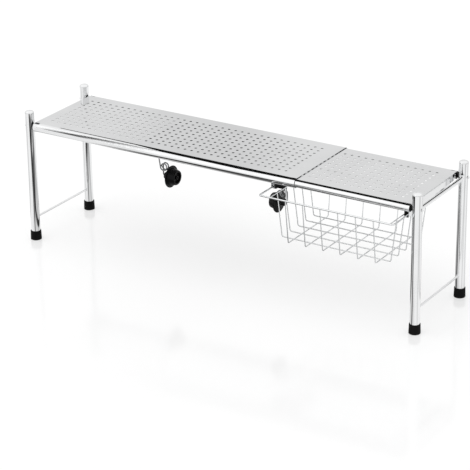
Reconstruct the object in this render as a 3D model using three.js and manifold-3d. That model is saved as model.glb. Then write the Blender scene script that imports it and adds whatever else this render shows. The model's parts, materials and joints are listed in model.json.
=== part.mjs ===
// Extending shelf that stands over a kitchen sink, with a wire drawer basket and a
// paper roll holder hung under it. Millimetres, +Z up. The origin is on the floor,
// under the middle of the whole shelf with its basket drawn out.
import * as THREE from "three";
import { mergeVertices } from "three/addons/utils/BufferGeometryUtils.js";
import Module from "manifold-3d";

const wasm = await Module();
wasm.setup();

// Driving dimensions
const frame_span = 900;
const frame_depth = 192;
const post_top = 288;
const post_rise = 24;
const sheet = 0.8;
const seat_gap = 0.3;
const cut_over = 2;

// Posts, caps and feet
const post_radius = 9.75;
const post_wall = 1.2;
const post_lift = 3;
const cap_dome = 5;
const cap_spigot = 9;
const foot_height = 20;
const foot_base_radius = 11.8;
const foot_rim_radius = 11.2;
const foot_chamfer = 1;
const round_sides = 16;
const small_sides = 12;
const slim_sides = 8;

// Cross members of the two end frames
const rod_radius = 2.25;
const rod_height = 48;
const bar_radius = 4;
const bar_hang = 12.5;

// Rolled sheet panels
const roll_radius = 9.75;
const roll_sweep_share = 0.84;
const roll_steps = 16;
const nest_gap = 0.9;
const end_gap = 4;
const panel_length = 626;
const flange_drop = 15;
const slit_length = 13;
const slit_width = 1;

// Perforation
const hole_pitch = 15.6;
const hole_radius = 2.8;
const hole_sides = 4;
const hole_rows = 10;
const main_hole_columns = 37;
const main_hole_inset = 26;
const slide_hole_columns = 29;
const slide_hole_inset = 30;

// Plugs and screws that join the rolls to the posts
const plug_length = 18;
const collar_radius = 4.5;
const screw_radius = 2;
const screw_clearance = 0.4;
const screw_head_radius = 3.6;
const screw_head_depth = 1.9;
const screw_reach = 12;

// Basket
const rim_radius = 1.7;
const wire_radius = 1.1;
const wire_sides = 5;
const rim_hang = 32;
const basket_drop = 91;
const basket_inset = 151.25;
const basket_width = 260;
const basket_taper = 11;
const basket_front = 138;
const basket_depth = 177;
const ledge_left = 24;
const ledge_right = 7.5;
const long_wires = 6;
const long_pitch = 38.1;
const cross_wires = 5;
const cross_pitch = 30.5;
const cross_first = 110;
const wire_bend = 4;
const rim_bend = 5;
const bend_steps = 4;

// Channels that carry the basket
const channel_wall = 1;
const channel_half = 85;
const channel_lip_left = 9.5;
const channel_lip_right = 6;
const channel_flange = 10;
const channel_play = 0.8;
const guide_length = 18;
const guide_height = 9.5;

// Roll holder
const holder_place = 45;
const holder_span = 281;
const holder_beside = 1;
const coil_hang = 28;
const coil_radius = 7;
const arm_radius = 1.4;
const arm_sides = 5;
const coil_steps = 8;
const coil_turns = 2;
const coil_fixed_turns = 1;
const coil_pitch = 3.6;
const gap_samples = 4;
const axle_hang = 21;
const leg_lean = 9;
const leg_foot_radius = 5;
const leg_foot_depth = 1.2;
const axle_reach = 32;
const arm_drop_bend = 3;
const hub_flange_radius = 23;
const hub_flange = 3;
const hub_nose_radius = 18;
const hub_nose_tip_radius = 15;
const hub_nose = 14;
const hub_boss_radius = 7;
const hub_boss = 13;
const hub_clearance = 0.4;

// Places that follow from the sizes above
const half_span = frame_span / 2;
const half_depth = frame_depth / 2;
const shelf_top = post_top - post_rise;
const bar_height = shelf_top - bar_hang;
const roll_height = shelf_top - roll_radius;
const inner_roll_radius = roll_radius - sheet - nest_gap;
const inner_top = roll_height + inner_roll_radius;
const inner_under = inner_top - sheet;
const panel_end = half_span - post_radius - end_gap;
const main_low = -panel_end;
const main_high = main_low + panel_length;
const slide_high = panel_end;
const slide_low = slide_high - panel_length;
const rim_height = shelf_top - rim_hang;
const basket_middle = slide_high - basket_inset;
const rail_left = basket_middle - basket_width / 2;
const rail_right = basket_middle + basket_width / 2;
const rim_left = rail_left - ledge_left;
const rim_right = rail_right + ledge_right;
const coil_height = rim_height - coil_hang;
const axle_height = coil_height - axle_hang;
const holder_right = rim_left - holder_beside;
const holder_left = holder_right - holder_span;
const front_reach = basket_front + rim_radius;
const back_reach = half_depth + foot_base_radius;
const stand_offset = (front_reach - back_reach) / 2;

// Finishes
const finish = (color, roughness, metalness) =>
  new THREE.MeshStandardMaterial({ color, roughness, metalness });
const chrome = () => finish(0xd9dcde, 0.08, 1);
const steel = () => finish(0xc9cbcc, 0.22, 1);
const wire_finish = () => finish(0xd2d4d6, 0.15, 1);
const rubber = () => finish(0x161616, 0.75, 0);
const plastic = () => finish(0x101010, 0.4, 0);

// One closed solid from a geometry's positions
function solid(geometry) {
  const plain = geometry.clone();
  plain.deleteAttribute("normal");
  plain.deleteAttribute("uv");
  const merged = mergeVertices(plain, 1e-4);
  return new wasm.Manifold(
    new wasm.Mesh({
      numProp: 3,
      vertProperties: new Float32Array(merged.attributes.position.array),
      triVerts: new Uint32Array(merged.index.array),
    }),
  );
}

// A geometry from a closed solid
function geometryOf(made) {
  const mesh = made.getMesh();
  const geometry = new THREE.BufferGeometry();
  geometry.setAttribute(
    "position",
    new THREE.BufferAttribute(mesh.vertProperties, 3),
  );
  geometry.setIndex(new THREE.BufferAttribute(mesh.triVerts, 1));
  geometry.computeVertexNormals();
  return geometry;
}

// A solid turned about Z, from points of radius and height
function turned(points, sides = round_sides) {
  const profile = points.map(([r, z]) => new THREE.Vector2(r, z));
  return new THREE.LatheGeometry(profile, sides).rotateX(Math.PI / 2);
}

// The same with its axis along +X
const turnedAlongX = (points, sides) => turned(points, sides).rotateY(Math.PI / 2);

// A box between two corners
function block(low, high) {
  const size = high.map((value, i) => value - low[i]);
  const middle = high.map((value, i) => (value + low[i]) / 2);
  return new THREE.BoxGeometry(...size).translate(...middle);
}

// A round bar between two points
function bar(from, to, radius, sides = round_sides) {
  const a = new THREE.Vector3(...from);
  const b = new THREE.Vector3(...to);
  const geometry = new THREE.CylinderGeometry(radius, radius, a.distanceTo(b), sides);
  const along = b.clone().sub(a).normalize();
  const turn = new THREE.Quaternion().setFromUnitVectors(new THREE.Vector3(0, 1, 0), along);
  return geometry
    .applyQuaternion(turn)
    .translate(...a.add(b).multiplyScalar(0.5).toArray());
}

// A path through fixed ring places, one ring of the tube at each
class RingPath extends THREE.Curve {
  constructor(places) {
    super();
    this.places = places;
  }

  getPoint(t, target = new THREE.Vector3()) {
    const last = this.places.length - 1;
    const i = Math.min(Math.floor(t * last + 1e-9), last - 1);
    return target.lerpVectors(this.places[i], this.places[i + 1], t * last - i);
  }

  getPointAt(u, target) {
    return this.getPoint(u, target);
  }

  getTangentAt(u, target = new THREE.Vector3()) {
    const last = this.places.length - 1;
    const i = Math.round(u * last);
    const before = this.places[Math.max(i - 1, 0)];
    const here = this.places[i];
    const after = this.places[Math.min(i + 1, last)];
    const incoming = here.clone().sub(before).normalize();
    const outgoing = after.clone().sub(here).normalize();
    return target.copy(incoming).add(outgoing).normalize();
  }
}

// A round tube with one ring at each place
function tube(places, radius, sides) {
  const ring = new THREE.Shape(
    Array.from({ length: sides }, (_, i) => {
      const angle = (2 * Math.PI * i) / sides;
      return new THREE.Vector2(radius * Math.cos(angle), radius * Math.sin(angle));
    }),
  );
  return new THREE.ExtrudeGeometry(ring, {
    steps: places.length - 1,
    bevelEnabled: false,
    extrudePath: new RingPath(places),
  });
}

// Ring places of a wire that runs from corner to corner with round bends
function bentPlaces(corners, bend) {
  const points = corners.map((corner) => new THREE.Vector3(...corner));
  const places = [points[0]];
  for (let i = 1; i < points.length - 1; i += 1) {
    const inward = points[i - 1].clone().sub(points[i]).normalize();
    const onward = points[i + 1].clone().sub(points[i]).normalize();
    const half = inward.angleTo(onward) / 2;
    const centre_way = inward.clone().add(onward).normalize();
    const centre = points[i].clone().addScaledVector(centre_way, bend / Math.sin(half));
    const start = points[i].clone().addScaledVector(inward, bend / Math.tan(half)).sub(centre);
    const axis = start.clone().cross(points[i].clone().sub(centre)).normalize();
    const turn = Math.PI - 2 * half;
    for (let k = 0; k <= bend_steps; k += 1) {
      const spoke = start.clone().applyAxisAngle(axis, (turn * k) / bend_steps);
      places.push(centre.clone().add(spoke));
    }
  }
  places.push(points[points.length - 1]);
  return places;
}

const bentWire = (corners, radius, bend, sides = wire_sides) =>
  tube(bentPlaces(corners, bend), radius, sides);

// The group, and one way to add a named piece to it
const shelf = new THREE.Group();
shelf.name = "over_sink_shelf";
shelf.position.y = stand_offset;

function add(name, geometry, material) {
  const mesh = new THREE.Mesh(geometry, material);
  mesh.name = name;
  shelf.add(mesh);
  return mesh;
}

const end_frames = [
  { side: "left", x_sign: -1 },
  { side: "right", x_sign: 1 },
];
const post_places = end_frames.flatMap(({ side, x_sign }) => [
  { side, x_sign, name: `${side}_front`, y_sign: -1 },
  { side, x_sign, name: `${side}_back`, y_sign: 1 },
]);

// Post tube, with the cross hole for its screw
function postTube() {
  const inner = post_radius - post_wall;
  const top = post_top - cap_dome;
  const wall = turned([
    [inner, post_lift],
    [post_radius, post_lift],
    [post_radius, top],
    [inner, top],
    [inner, post_lift],
  ]);
  const reach = post_radius + cut_over;
  const drill = bar(
    [-reach, 0, roll_height],
    [reach, 0, roll_height],
    screw_radius + screw_clearance,
    slim_sides,
  );
  return geometryOf(solid(wall).subtract(solid(drill)));
}

// Domed cap whose spigot sits inside the post
function postCap() {
  const seat = post_top - cap_dome + seat_gap;
  const spigot = post_radius - post_wall - seat_gap;
  const dome_height = post_top - seat;
  const steps = small_sides / 4;
  const dome = Array.from({ length: steps }, (_, i) => {
    const angle = (Math.PI / 2) * (i / steps);
    return [post_radius * Math.cos(angle), seat + dome_height * Math.sin(angle)];
  });
  const points = [
    [0, seat - cap_spigot],
    [spigot, seat - cap_spigot],
    [spigot, seat],
    ...dome,
    [0, post_top],
  ];
  return turned(points, small_sides);
}

// Rubber foot, a cup round the lower end of the post
function rubberFoot() {
  const bore = post_radius + seat_gap;
  const floor = post_lift - seat_gap;
  return turned([
    [0, 0],
    [foot_base_radius - foot_chamfer, 0],
    [foot_base_radius, foot_chamfer],
    [foot_rim_radius, foot_height],
    [bore, foot_height],
    [bore, floor],
    [0, floor],
  ]);
}

// Screw from outside the post into the plug in the roll, pointing to the shelf's middle
function postScrew(x_sign) {
  const seat = half_span + post_radius + seat_gap;
  const tip = panel_end - screw_reach;
  const head_edge = seat + screw_head_depth / 2;
  const points = [
    [0, tip],
    [screw_radius, tip],
    [screw_radius, seat],
    [screw_head_radius, seat],
    [screw_head_radius, head_edge],
    [screw_head_radius / 2, seat + screw_head_depth],
    [0, seat + screw_head_depth],
  ];
  const screw = turnedAlongX(points, slim_sides);
  return x_sign > 0 ? screw : screw.rotateZ(Math.PI);
}

// Plastic plug inside the roll, with a collar that spaces the roll from the post
function rollPlug(x_sign, roll_inner) {
  const plug = roll_inner - seat_gap;
  const bore = screw_radius + screw_clearance;
  const inside = panel_end - plug_length;
  const outside = half_span - post_radius - seat_gap;
  const points = [
    [bore, inside],
    [plug, inside],
    [plug, panel_end],
    [collar_radius, panel_end],
    [collar_radius, outside],
    [bore, outside],
    [bore, inside],
  ];
  const piece = turnedAlongX(points, small_sides);
  return x_sign > 0 ? piece : piece.rotateZ(Math.PI);
}

// End frames
for (const { side, x_sign } of end_frames) {
  const x = x_sign * half_span;
  const rod_end = half_depth - post_radius - seat_gap;
  add(
    `${side}_lower_rod`,
    bar([x, -rod_end, rod_height], [x, rod_end, rod_height], rod_radius, slim_sides),
    chrome(),
  );
  add(
    `${side}_upper_bar`,
    bar([x, -rod_end, bar_height], [x, rod_end, bar_height], bar_radius, slim_sides),
    chrome(),
  );
}

for (const { name, x_sign, y_sign } of post_places) {
  const x = x_sign * half_span;
  const y = y_sign * half_depth;
  const roll_inner = (x_sign < 0 ? roll_radius : inner_roll_radius) - sheet;
  add(`${name}_post`, postTube(), chrome()).position.set(x, y, 0);
  add(`${name}_cap`, postCap(), chrome()).position.set(x, y, 0);
  add(`${name}_foot`, rubberFoot(), rubber()).position.set(x, y, 0);
  add(`${name}_screw`, postScrew(x_sign), chrome()).position.set(0, y, roll_height);
  add(`${name}_plug`, rollPlug(x_sign, roll_inner), plastic()).position.set(0, y, roll_height);
}

// Cross-section of a panel in Y and Z: a flat top whose two edges roll under
function panelProfile(radius) {
  const sweep = 2 * Math.PI * roll_sweep_share;
  const arc = (r, back_side, from_end) => {
    const points = [];
    for (let i = 0; i <= roll_steps; i += 1) {
      const k = from_end ? roll_steps - i : i;
      const angle = Math.PI / 2 - (back_side ? 1 : -1) * ((sweep * k) / roll_steps);
      const y = (back_side ? half_depth : -half_depth) + r * Math.cos(angle);
      points.push(new THREE.Vector2(y, roll_height + r * Math.sin(angle)));
    }
    return points;
  };
  const inner = radius - sheet;
  return new THREE.Shape([
    ...arc(radius, false, true),
    ...arc(radius, true, false),
    ...arc(inner, true, true),
    ...arc(inner, false, false),
  ]);
}

// Prisms that pierce a panel, in columns counted from its outer end
function perforation(outer, outer_sign, top, inset, columns) {
  const shapes = [];
  for (let column = 0; column < columns; column += 1) {
    const x = outer - outer_sign * (inset + column * hole_pitch);
    for (let row = 0; row < hole_rows; row += 1) {
      const y = (row - (hole_rows - 1) / 2) * hole_pitch;
      const points = Array.from({ length: hole_sides }, (_, i) => {
        const angle = (2 * Math.PI * i) / hole_sides;
        return new THREE.Vector2(
          x + hole_radius * Math.cos(angle),
          y + hole_radius * Math.sin(angle),
        );
      });
      shapes.push(new THREE.Shape(points));
    }
  }
  const prisms = new THREE.ExtrudeGeometry(shapes, {
    depth: sheet + cut_over,
    bevelEnabled: false,
  });
  return prisms.translate(0, 0, top - sheet - cut_over / 2);
}

// Rolled panel from one X to another, with a flange folded down at its outer end
function rolledPanel(from, to, radius, inset, columns) {
  const outer_sign = from < -to ? -1 : 1;
  const outer = outer_sign < 0 ? from : to;
  const extruded = new THREE.ExtrudeGeometry(panelProfile(radius), {
    depth: to - from,
    bevelEnabled: false,
  });
  extruded.rotateX(Math.PI / 2).rotateZ(Math.PI / 2).translate(from, 0, 0);
  const top = roll_height + radius;
  const inward = (length) => outer - outer_sign * length;
  const flange_half = half_depth - roll_radius - slit_width;
  const spanX = (a, b) => [Math.min(a, b), Math.max(a, b)];
  const [flange_low, flange_high] = spanX(outer, inward(sheet));
  const flange = block(
    [flange_low, -flange_half, top - flange_drop],
    [flange_high, flange_half, top - sheet / 2],
  );
  let made = solid(extruded).add(solid(flange));
  const [slit_low, slit_high] = spanX(outer + outer_sign * cut_over, inward(slit_length));
  for (const y_sign of [-1, 1]) {
    const y = y_sign * (half_depth - slit_width / 2);
    const slit = block(
      [slit_low, y - slit_width / 2, top - sheet - nest_gap / 2],
      [slit_high, y + slit_width / 2, top + cut_over],
    );
    made = made.subtract(solid(slit));
  }
  return made.subtract(solid(perforation(outer, outer_sign, top, inset, columns)));
}

// Shelf panels: the wide one on top, the sliding one nested under it
const main_sheet = rolledPanel(
  main_low,
  main_high,
  roll_radius,
  main_hole_inset,
  main_hole_columns,
);
const sliding_sheet = rolledPanel(
  slide_low,
  slide_high,
  inner_roll_radius,
  slide_hole_inset,
  slide_hole_columns,
);
add("main_panel", geometryOf(main_sheet), steel());
add("sliding_panel", geometryOf(sliding_sheet), steel());

// Basket: a rim with a ledge at each side, two rails, and the wires bent up from the floor
const basket_back = basket_depth - basket_front;
const weld = seat_gap / 2;

add(
  "basket_rim",
  bentWire(
    [
      [basket_middle + weld, basket_back, rim_height],
      [rim_right, basket_back, rim_height],
      [rim_right, -basket_front, rim_height],
      [rim_left, -basket_front, rim_height],
      [rim_left, basket_back, rim_height],
      [basket_middle - weld, basket_back, rim_height],
    ],
    rim_radius,
    rim_bend,
    slim_sides,
  ),
  wire_finish(),
);

const rail_clear = rim_radius + seat_gap;
for (const [side, x] of [["left", rail_left], ["right", rail_right]]) {
  add(
    `basket_rail_${side}`,
    bar(
      [x, -basket_front + rail_clear, rim_height],
      [x, basket_back - rail_clear, rim_height],
      wire_radius,
      wire_sides,
    ),
    wire_finish(),
  );
}

const floor_height = rim_height - basket_drop;
const long_top = rim_height - rim_radius - seat_gap;
for (let i = 0; i < long_wires; i += 1) {
  const x = basket_middle + (i - (long_wires - 1) / 2) * long_pitch;
  add(
    `basket_long_wire_${i + 1}`,
    bentWire(
      [
        [x, -basket_front, long_top],
        [x, -basket_front + basket_taper, floor_height],
        [x, basket_back - basket_taper, floor_height],
        [x, basket_back, long_top],
      ],
      wire_radius,
      wire_bend,
    ),
    wire_finish(),
  );
}

const cross_height = floor_height + 2 * wire_radius + seat_gap;
const cross_top = rim_height - wire_radius - seat_gap;
for (let i = 0; i < cross_wires; i += 1) {
  const y = -cross_first + i * cross_pitch;
  add(
    `basket_cross_wire_${i + 1}`,
    bentWire(
      [
        [rail_left, y, cross_top],
        [rail_left + basket_taper, y, cross_height],
        [rail_right - basket_taper, y, cross_height],
        [rail_right, y, cross_top],
      ],
      wire_radius,
      wire_bend,
    ),
    wire_finish(),
  );
}

// Channels under the sliding panel that carry the rim's two side wires
const lip_top = rim_height - rim_radius - seat_gap;
const lip_low = lip_top - channel_wall;
const channel_top = inner_under - seat_gap;
for (const [side, rim_x, away, lip] of [
  ["left", rim_left, -1, channel_lip_left],
  ["right", rim_right, 1, channel_lip_right],
]) {
  const web_in = rim_x + away * (rim_radius + channel_play);
  const web_out = web_in + away * channel_wall;
  const lip_end = web_in - away * lip;
  const flange_end = web_in - away * channel_flange;
  const profile = new THREE.Shape(
    [
      [web_out, lip_low],
      [lip_end, lip_low],
      [lip_end, lip_top],
      [web_in, lip_top],
      [web_in, channel_top - channel_wall],
      [flange_end, channel_top - channel_wall],
      [flange_end, channel_top],
      [web_out, channel_top],
    ].map(([x, z]) => new THREE.Vector2(x, z)),
  );
  const channel = new THREE.ExtrudeGeometry(profile, {
    depth: 2 * channel_half,
    bevelEnabled: false,
  });
  channel.rotateX(Math.PI / 2).translate(0, channel_half, 0);
  add(`basket_channel_${side}`, channel, steel());

  const rail_x = side === "left" ? rail_left : rail_right;
  const guide_ends = [
    rim_x - away * (rim_radius + seat_gap),
    rail_x + away * (wire_radius + seat_gap),
  ];
  add(
    `basket_guide_${side}`,
    block(
      [Math.min(...guide_ends), -channel_half, lip_top + seat_gap],
      [Math.max(...guide_ends), -channel_half + guide_length, lip_top + seat_gap + guide_height],
    ),
    plastic(),
  );
}

// Roll holder: a wire leg from the panel into a coil, and an arm from the coil to the axle
function coilPlaces(centre_x, out_sign, first_y, from_turns, to_turns) {
  const steps = Math.round((to_turns - from_turns) * coil_steps);
  return Array.from({ length: steps + 1 }, (_, i) => {
    const turns = from_turns + i / coil_steps;
    const angle = 2 * Math.PI * turns;
    return new THREE.Vector3(
      centre_x + out_sign * coil_radius * Math.cos(angle),
      first_y + coil_pitch * (turns - from_turns),
      coil_height - coil_radius * Math.sin(angle),
    );
  });
}

const coil_front = -holder_place - (coil_pitch * coil_turns) / 2;
const leg_top = inner_under - seat_gap;

// Leg: from its foot under the panel down into the outer side of the coil
function legPlaces(centre_x, out_sign) {
  const coil = coilPlaces(centre_x, out_sign, coil_front, 0, coil_fixed_turns);
  const foot = new THREE.Vector3(
    centre_x + out_sign * (coil_radius + leg_lean),
    coil_front,
    leg_top - leg_foot_depth / 2,
  );
  return [foot, ...coil];
}

// Arm: out of the coil, down to the axle's height and in along it
function armPlaces(centre_x, out_sign, first_y) {
  const coil = coilPlaces(centre_x, out_sign, first_y, coil_fixed_turns, coil_turns);
  const tip = coil[coil.length - 1];
  const in_sign = -out_sign;
  const elbow = [tip.x, tip.y, axle_height];
  const end = [tip.x + in_sign * axle_reach, tip.y, axle_height];
  const drop = bentPlaces([tip.toArray(), elbow, end], arm_drop_bend);
  return [...coil, ...drop.slice(1)];
}

function legFoot(centre_x, out_sign) {
  const foot_x = centre_x + out_sign * (coil_radius + leg_lean);
  return bar(
    [foot_x, coil_front, leg_top - leg_foot_depth],
    [foot_x, coil_front, leg_top],
    leg_foot_radius,
    slim_sides,
  );
}

// Least gap of a wound wire to itself, between points half a turn apart or more
function leastGap(places, radius) {
  const points = [];
  for (let i = 1; i < places.length; i += 1) {
    for (let k = 0; k < gap_samples; k += 1) {
      points.push(places[i - 1].clone().lerp(places[i], k / gap_samples));
    }
  }
  const travelled = [0];
  for (let i = 1; i < points.length; i += 1) {
    travelled.push(travelled[i - 1] + points[i].distanceTo(points[i - 1]));
  }
  let least = Infinity;
  for (let i = 0; i < points.length; i += 1) {
    for (let j = i + 1; j < points.length; j += 1) {
      if (travelled[j] - travelled[i] < Math.PI * coil_radius) continue;
      least = Math.min(least, points[i].distanceTo(points[j]) - 2 * radius);
    }
  }
  return least;
}

// A bent wire of the holder, which reports its least gap to itself
function holderWire(name, places) {
  console.log(`${name}: least gap to itself ${leastGap(places, arm_radius).toFixed(2)} mm`);
  return solid(tube(places, arm_radius, arm_sides));
}

const fixed_length = coil_pitch * coil_fixed_turns;
const moving_length = coil_pitch * (coil_turns - coil_fixed_turns);
const moving_front = coil_front + fixed_length + 2 * arm_radius + seat_gap;
const left_leg = holderWire("holder_leg_left", legPlaces(holder_left, -1));
const left_arm = holderWire("holder_arm_left", armPlaces(holder_left, -1, moving_front));
const right_arm = holderWire("holder_arm_right", [
  ...legPlaces(holder_right, 1),
  ...armPlaces(holder_right, 1, coil_front + fixed_length).slice(1),
]);
add("holder_leg_left", geometryOf(left_leg.add(solid(legFoot(holder_left, -1)))), wire_finish());
add("holder_arm_left", geometryOf(left_arm), wire_finish());
add("holder_arm_right", geometryOf(right_arm.add(solid(legFoot(holder_right, 1)))), wire_finish());

// Hubs that hold the roll's core, free to turn on the arms' axles
const hub_points = (bore) => [
  [bore, 0],
  [hub_boss_radius, 0],
  [hub_boss_radius, hub_boss],
  [hub_flange_radius, hub_boss],
  [hub_flange_radius, hub_boss + hub_flange],
  [hub_nose_radius, hub_boss + hub_flange],
  [hub_nose_tip_radius, hub_boss + hub_flange + hub_nose],
  [bore, hub_boss + hub_flange + hub_nose],
  [bore, 0],
];
const axle_start = arm_radius + arm_drop_bend;
const hub_bore = arm_radius + hub_clearance;
for (const [side, centre_x, out_sign, y] of [
  ["left", holder_left, -1, moving_front + moving_length],
  ["right", holder_right, 1, coil_front + fixed_length + moving_length],
]) {
  const hub = turnedAlongX(hub_points(hub_bore));
  const axle_x = centre_x + out_sign * (coil_radius - axle_start);
  if (out_sign > 0) hub.rotateZ(Math.PI);
  add(`roll_hub_${side}`, hub, plastic()).position.set(axle_x, y, axle_height);
}

export default shelf;
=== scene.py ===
"""Dressed model of an extending shelf that stands over a kitchen sink.

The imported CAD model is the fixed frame. Every piece of it is made again here as a finer mesh with
its own finish, rides on the body of the CAD node that it stands for, and stays in that node's
place. Sizes are in millimetres and +Z is up, with Y counted from midway between the front and
back posts, until a mesh is made in metres.
"""

from __future__ import annotations

import json
import logging
import math
from collections.abc import Sequence
from dataclasses import dataclass, field
from enum import Enum
from typing import Any

import bmesh
import bpy
from mathutils import Matrix, Vector

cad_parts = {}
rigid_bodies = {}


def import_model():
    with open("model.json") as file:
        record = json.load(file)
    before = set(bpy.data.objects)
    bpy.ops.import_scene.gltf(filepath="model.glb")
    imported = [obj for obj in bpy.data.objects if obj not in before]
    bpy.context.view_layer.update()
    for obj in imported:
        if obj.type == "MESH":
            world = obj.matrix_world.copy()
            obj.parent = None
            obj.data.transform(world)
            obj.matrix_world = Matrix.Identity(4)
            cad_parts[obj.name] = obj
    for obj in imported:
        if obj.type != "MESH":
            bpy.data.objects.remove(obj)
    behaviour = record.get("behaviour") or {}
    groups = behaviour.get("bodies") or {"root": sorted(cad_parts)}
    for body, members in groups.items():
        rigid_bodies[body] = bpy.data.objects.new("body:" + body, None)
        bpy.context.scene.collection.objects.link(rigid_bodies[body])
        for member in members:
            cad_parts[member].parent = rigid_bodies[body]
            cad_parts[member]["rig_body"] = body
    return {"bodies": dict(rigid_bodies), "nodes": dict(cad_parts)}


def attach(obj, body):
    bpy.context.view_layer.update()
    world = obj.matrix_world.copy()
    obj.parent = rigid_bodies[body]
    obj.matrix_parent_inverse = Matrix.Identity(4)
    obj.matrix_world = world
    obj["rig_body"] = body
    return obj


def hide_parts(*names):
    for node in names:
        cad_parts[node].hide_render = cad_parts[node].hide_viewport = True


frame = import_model()

LOG = logging.getLogger("over_sink_shelf")
Point = tuple[float, float, float]
Pair = tuple[float, float]
Colour = tuple[float, float, float]
Socket = bpy.types.NodeSocket
Node = bpy.types.Node
Object = bpy.types.Object

MM = 0.001
STAND_OFFSET = 15.95
WELD_DISTANCE = 1e-6
TOUCH = 0.3
END_ROUNDING = 0.3


class Axis(Enum):
    """Axis about which a piece is turned."""

    X = 0
    Y = 1
    Z = 2

    def point(self, centre: Point, radius: float, angle: float, along: float) -> Point:
        """Point at a radius and an angle round this axis.

        Args:
            centre: A point on the axis.
            radius: Distance from the axis.
            angle: Angle about the axis, in radians.
            along: Distance along the axis from the centre.

        Returns:
            The point's coordinates.
        """
        made = list(centre)
        made[self.value] += along
        made[(self.value + 1) % 3] += radius * math.cos(angle)
        made[(self.value + 2) % 3] += radius * math.sin(angle)
        return tuple(made)


class Way(Enum):
    """One of two ways along an axis, with its sign as the value."""

    @property
    def word(self) -> str:
        """The way as the nodes' names have it."""
        return self.name.lower()


class Side(Way):
    """Left or right half of the shelf."""

    LEFT = -1
    RIGHT = 1


class Row(Way):
    """Front or back of the shelf."""

    FRONT = -1
    BACK = 1


# Shapes


@dataclass
class Shape:
    """Points and faces of one piece, in millimetres.

    Each face carries a mark, the place of its finish among the piece's finishes.
    """

    points: list[Point] = field(default_factory=list)
    faces: list[tuple[int, ...]] = field(default_factory=list)
    marks: list[int] = field(default_factory=list)

    def ring(self, points: Sequence[Sequence[float]]) -> list[int]:
        """Adds points.

        Args:
            points: The new points.

        Returns:
            Their indices.
        """
        first = len(self.points)
        self.points.extend(tuple(p) for p in points)
        return list(range(first, len(self.points)))

    def face(self, corners: Sequence[int], mark: int = 0) -> None:
        """Adds one face through points that are there already."""
        self.faces.append(tuple(corners))
        self.marks.append(mark)

    def polygon(self, points: Sequence[Point], mark: int = 0) -> None:
        """Adds one face with points of its own."""
        self.face(self.ring(points), mark)

    def bridge(self, low: Sequence[int], high: Sequence[int]) -> None:
        """Joins two closed rings, either of which may be a single point.

        Args:
            low: Indices of the first ring.
            high: Indices of the second ring.
        """
        count = max(len(low), len(high))
        for i in range(count):
            k = (i + 1) % count
            lower, upper = ([ring[n % len(ring)] for n in (i, k)] for ring in (low, high))
            self.face(list(dict.fromkeys([*lower, *upper[::-1]])))

    def skin(self, rings: Sequence[Sequence[int]], ends: bool = True) -> Shape:
        """Joins rings one after another.

        Args:
            rings: The rings' indices.
            ends: Whether the first and the last ring are closed with a face.

        Returns:
            The shape itself.
        """
        for low, high in zip(rings, rings[1:]):
            self.bridge(low, high)
        if ends:
            self.face(rings[0][::-1])
            self.face(rings[-1])
        return self

    def turned(
        self, profile: Sequence[Pair], centre: Point, axis: Axis = Axis.Z, way: int = 1,
        sides: int = 64,
    ) -> Shape:
        """Adds a turned solid.

        Args:
            profile: Radius and place along the axis, from one end to the other.
            centre: Where the axis' zero is.
            axis: The axis of turning.
            way: 1 or -1, the way along the axis in which the places count.
            sides: Number of sides round the axis.

        Returns:
            The shape itself.
        """
        rings = []
        for radius, along in profile:
            angles = [2 * math.pi * i / sides for i in range(sides)] if radius > 0 else [0.0]
            rings.append(self.ring([axis.point(centre, radius, a, way * along) for a in angles]))
        return self.skin(rings, ends=False)

    def tube(
        self, places: Sequence[Vector], radius: float, sides: int = 12, closed: bool = False
    ) -> Shape:
        """Adds a round wire through given places.

        Args:
            places: The wire's middle line.
            radius: The wire's radius.
            sides: Number of sides of its section.
            closed: Whether the wire closes on itself.

        Returns:
            The shape itself.
        """
        steps = [(b - a).normalized() for a, b in zip(places, places[1:])]
        steps.append((places[0] - places[-1]).normalized() if closed else steps[-1])
        before = [steps[-1 if closed else 0], *steps[:-1]]
        tangents = [(a + b).normalized() for a, b in zip(before, steps)]
        normal = tangents[0].orthogonal().normalized()
        bevel = radius * END_ROUNDING
        plain = [(radius, 0.0)]
        ends = {0: [(radius - bevel, 0.0), (radius, bevel)]}
        ends[len(places) - 1] = [(radius, -bevel), (radius - bevel, 0.0)]
        rings: list[list[int]] = []
        for i, (here, tangent) in enumerate(zip(places, tangents)):
            if i:
                normal = (tangents[i - 1].rotation_difference(tangent) @ normal).normalized()
            side = tangent.cross(normal).normalized()
            spokes = [2 * math.pi * k / sides for k in range(sides)]
            around = [normal * math.cos(a) + side * math.sin(a) for a in spokes]
            for size, shift in plain if closed else ends.get(i, plain):
                rings.append(self.ring([here + tangent * shift + s * size for s in around]))
        if closed:
            first, start = rings[0], self.points[rings[-1][0]]
            near = min(range(sides), key=lambda i: math.dist(self.points[first[i]], start))
            self.bridge(rings[-1], first[near:] + first[:near])
        return self.skin(rings, ends=not closed)

    def loft(self, sections: Sequence[Sequence[Point]]) -> Shape:
        """Adds a solid through closed sections and returns the shape."""
        return self.skin([self.ring(points) for points in sections])


def bent(corners: Sequence[Point], bend: float, steps: int = 8) -> list[Vector]:
    """Middle line of a wire that runs from corner to corner with round bends.

    Args:
        corners: The corners, with both ends.
        bend: Radius of the bends.
        steps: Number of straight pieces in a bend.

    Returns:
        Places along the line.
    """
    points = [Vector(c) for c in corners]
    places = [points[0]]
    for before, here, after in zip(points, points[1:], points[2:]):
        inward = (before - here).normalized()
        onward = (after - here).normalized()
        half = inward.angle(onward) / 2
        middle = here + (inward + onward).normalized() * (bend / math.sin(half))
        spoke = here + inward * (bend / math.tan(half)) - middle
        axis = spoke.cross(here - middle).normalized()
        turn = (math.pi - 2 * half) / steps
        places += [middle + Matrix.Rotation(turn * k, 3, axis) @ spoke for k in range(steps + 1)]
    return places + [points[-1]]


# Finishes


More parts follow.
